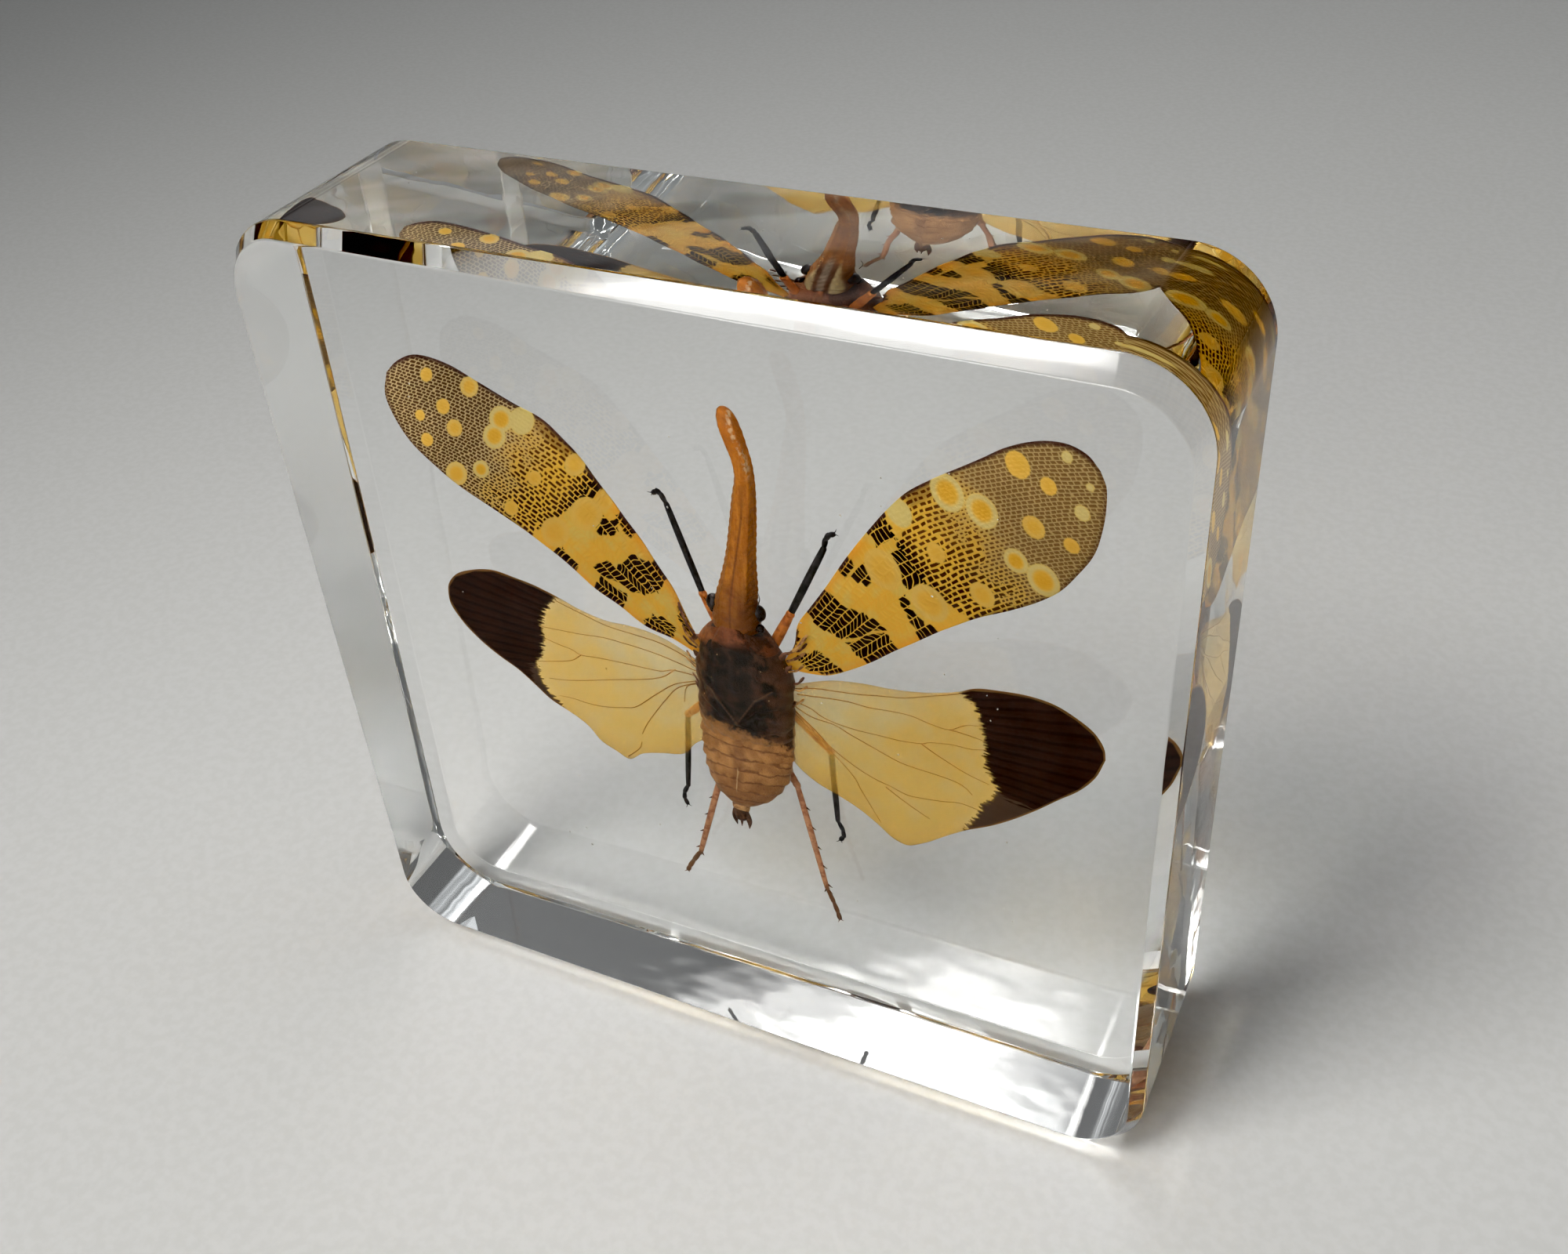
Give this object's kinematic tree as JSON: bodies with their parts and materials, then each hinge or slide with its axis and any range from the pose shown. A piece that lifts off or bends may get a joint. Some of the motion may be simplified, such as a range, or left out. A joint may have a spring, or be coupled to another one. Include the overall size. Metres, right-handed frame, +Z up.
{
  "type": "insect in resin block",
  "caption": "Clear square resin block with rounded corners, standing on its edge, with a spread long-snouted lantern bug sealed inside.",
  "frame": {"origin": "middle of the bottom face that the block stands on", "axes": "+Z up, front face with the insect's back towards -Y, +X to the viewer's right"},
  "size_m": [0.08, 0.02, 0.08],
  "materials": {
    "clear_resin": "clear, cast and polished to a high gloss",
    "insect": "dry insect cuticle: tan and dark brown body, yellow spotted forewings, straw hindwings with dark tips"
  },
  "bodies": {
    "root": {"resin_front": "clear_resin", "resin_back": "clear_resin", "insect": "insect"}
  },
  "joints": []
}
